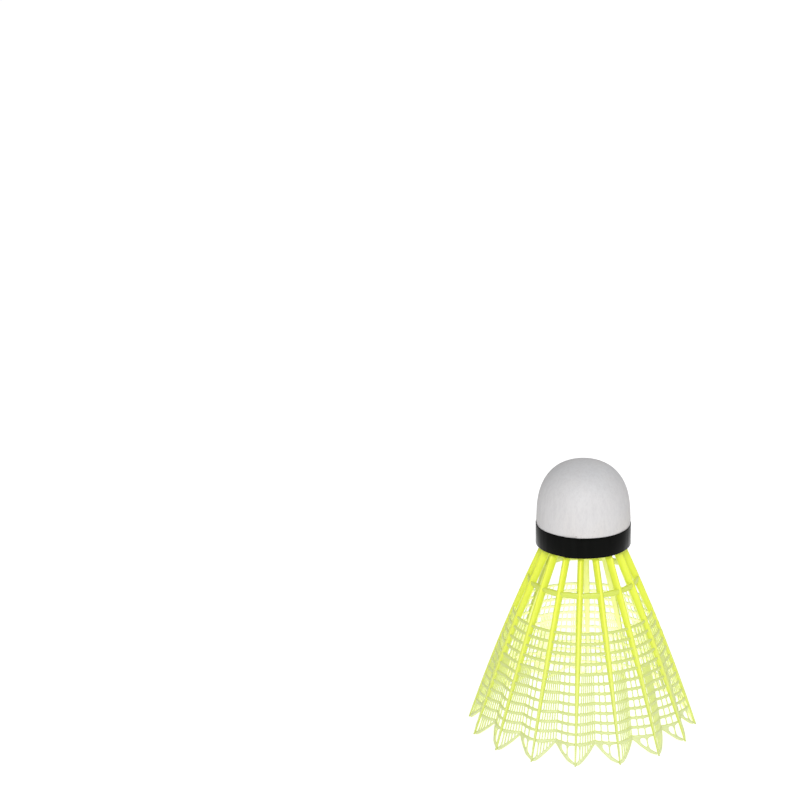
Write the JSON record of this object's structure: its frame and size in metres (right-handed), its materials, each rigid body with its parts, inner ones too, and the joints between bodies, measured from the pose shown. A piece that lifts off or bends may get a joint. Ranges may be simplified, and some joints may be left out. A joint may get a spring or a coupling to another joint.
{
  "type": "badminton shuttlecock",
  "caption": "Synthetic badminton shuttlecock: domed cork head under a pale grained skin, black tape band, and a flared, pleated nylon net skirt on stiff ribs.",
  "frame": {"origin": "centre of the circle of rib tips, on the surface that the shuttlecock stands on", "axes": "+Z along the shuttlecock's axis from the skirt towards the head; rib_01 faces -Y"},
  "size_m": [0.066, 0.066, 0.0794],
  "materials": {
    "cork": "bare pressed cork granules",
    "cover_skin": "thin off-white synthetic leather with a fine grain, slightly soiled",
    "tape": "glossy black vinyl tape",
    "ballast_steel": "bare steel pellet",
    "nylon_solid": "fluorescent yellow-green moulded nylon, slightly translucent",
    "nylon_net": "fluorescent yellow-green moulded nylon in thin translucent filaments"
  },
  "bodies": {
    "root": {"head_core": "cork", "head_cover": "cover_skin", "tape_band": "tape", "ballast_weight": "ballast_steel", "skirt_plug": "nylon_solid", "skirt_flange": "nylon_solid", "upper_ring": "nylon_solid", "rib_01": "nylon_solid", "rib_02": "nylon_solid", "rib_03": "nylon_solid", "rib_04": "nylon_solid", "rib_05": "nylon_solid", "rib_06": "nylon_solid", "rib_07": "nylon_solid", "rib_08": "nylon_solid", "rib_09": "nylon_solid", "rib_10": "nylon_solid", "rib_11": "nylon_solid", "rib_12": "nylon_solid", "rib_13": "nylon_solid", "rib_14": "nylon_solid", "rib_15": "nylon_solid", "rib_16": "nylon_solid", "net_01": "nylon_net", "net_02": "nylon_net", "net_03": "nylon_net", "net_04": "nylon_net", "net_05": "nylon_net", "net_06": "nylon_net", "net_07": "nylon_net", "net_08": "nylon_net", "net_09": "nylon_net", "net_10": "nylon_net", "net_11": "nylon_net", "net_12": "nylon_net", "net_13": "nylon_net", "net_14": "nylon_net", "net_15": "nylon_net", "net_16": "nylon_net"}
  },
  "joints": []
}
